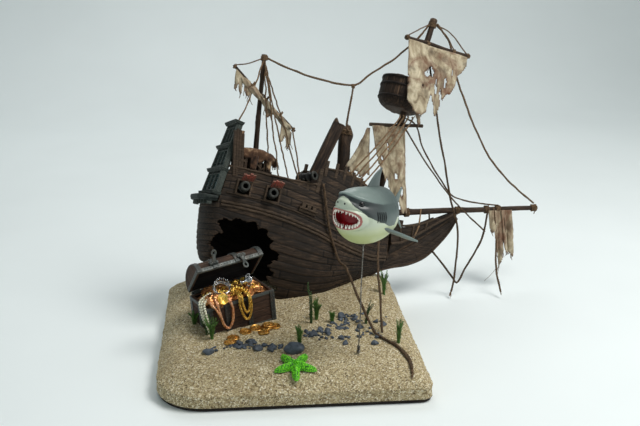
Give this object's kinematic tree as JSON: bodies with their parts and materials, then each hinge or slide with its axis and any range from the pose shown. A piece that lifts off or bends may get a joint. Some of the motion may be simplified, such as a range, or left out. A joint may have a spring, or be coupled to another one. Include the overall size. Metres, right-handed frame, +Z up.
{
  "type": "aquarium bubbling ornament",
  "caption": "Aquarium ornament: wrecked ship on sand, air-lifted treasure chest lid, shark swaying on a wire tether.",
  "frame": {"origin": "middle of the rectangular base's footprint, on its underside", "axes": "+X to the right along the ship towards the bowsprit, +Y towards the back, where the air line enters, +Z up"},
  "size_m": [0.3542, 0.285, 0.25],
  "materials": {
    "base_board": "matt",
    "sand": "bonded coarse sand",
    "weathered_wood": "cast resin painted as weathered planks",
    "spar_wood": "stained, worn",
    "stern_paint": "cast resin, washed brown and teal",
    "iron": "cast resin painted as worn iron",
    "port_red": "worn red paint",
    "sail_cloth": "stiffened, stained, ragged",
    "twine": "stained jute twine",
    "gold": "bright",
    "copper": "copper-gold metallic paint",
    "silver": "bright",
    "pearl": "pearl",
    "starfish_green": "bright green, pimpled",
    "dark_pebble": "dry",
    "plant": "soft plastic",
    "shark_skin": "satin paint, grey over white",
    "air_line": "clear",
    "air_stone": "porous",
    "tether_wire": "thin wire"
  },
  "bodies": {
    "base": {"air_inlet_barb": "air_line", "air_stone": "air_stone", "air_tube": "air_line", "anchor_rope": "twine", "base_plate": "base_board", "bowsprit": "spar_wood", "bowsprit_rag": "sail_cloth", "broken_spar": "spar_wood", "bulwark_port": "weathered_wood", "bulwark_starboard": "weathered_wood", "chest_box": "weathered_wood", "chest_hinge_pin": "iron", "coin_front": "copper", "coin_stack": "copper", "crows_nest": "spar_wood", "deck_gun": "iron", "fore_deck": "weathered_wood", "fore_mast": "spar_wood", "fore_stay_rope": "twine", "fore_topsail_yard": "spar_wood", "fore_yard": "spar_wood", "foresail": "sail_cloth", "goblet": "silver", "gold_chain": "gold", "gun_aft": "iron", "gun_fore": "iron", "gunport_lid_aft": "port_red", "gunport_lid_fore": "port_red", "head_rail_starboard": "weathered_wood", "hull_port": "weathered_wood", "hull_starboard": "weathered_wood", "keel_and_knee": "weathered_wood", "main_deck": "weathered_wood", "main_mast_stump": "spar_wood", "main_stay_rope": "twine", "medallion": "gold", "mizzen_mast": "spar_wood", "mizzen_sail": "sail_cloth", "mizzen_yard": "spar_wood", "pearl_string": "pearl", "pebble_front": "dark_pebble", "plant_left": "plant", "plant_right": "plant", "quarter_deck": "weathered_wood", "rope_chain": "copper", "sand_base": "sand", "shroud_ropes": "twine", "starfish": "starfish_green", "stern_counter": "stern_paint", "tether_anchor": "tether_wire", "tiara": "silver", "topsail": "sail_cloth", "transom": "stern_paint", "treasure_heap": "copper"},
    "lid": {"chest_lid": "weathered_wood"},
    "hasp_l": {"hasp_left": "iron"},
    "hasp_r": {"hasp_right": "iron"},
    "swivel": {"tether_swivel": "tether_wire"},
    "rod": {"tether_rod": "tether_wire"},
    "shark": {"shark_body": "shark_skin"}
  },
  "joints": [
    {"name": "lid_hinge", "type": "hinge", "parent": "base", "child": "lid", "pos_m": [-0.05334, 0.01302, 0.0498], "axis": [-0.8954, -0.4367, -0.0872], "range_deg": [-16, 16]},
    {"name": "hasp_left_hinge", "type": "hinge", "parent": "lid", "child": "hasp_l", "pos_m": [-0.05752, -0.01525, 0.07954], "axis": [0.8954, 0.4367, 0.0872], "range_deg": [-20, 110]},
    {"name": "hasp_right_hinge", "type": "hinge", "parent": "lid", "child": "hasp_r", "pos_m": [-0.03603, -0.00477, 0.08163], "axis": [0.8954, 0.4367, 0.0872], "range_deg": [-120, 10]},
    {"name": "tether_sway_side", "type": "hinge", "parent": "base", "child": "swivel", "pos_m": [0.05, -0.077, 0.02717], "axis": [1, 0, 0], "range_deg": [-7, 7], "stiffness_Nm_per_rad": 0.4},
    {"name": "tether_sway_along", "type": "hinge", "parent": "swivel", "child": "rod", "pos_m": [0.05, -0.077, 0.02717], "axis": [0, 1, 0], "range_deg": [-7, 7], "stiffness_Nm_per_rad": 0.4},
    {"name": "shark_yaw", "type": "hinge", "parent": "rod", "child": "shark", "pos_m": [0.05253, -0.07797, 0.11521], "axis": [0.0287, -0.011, 0.9995], "range_deg": [-25, 25]}
  ]
}
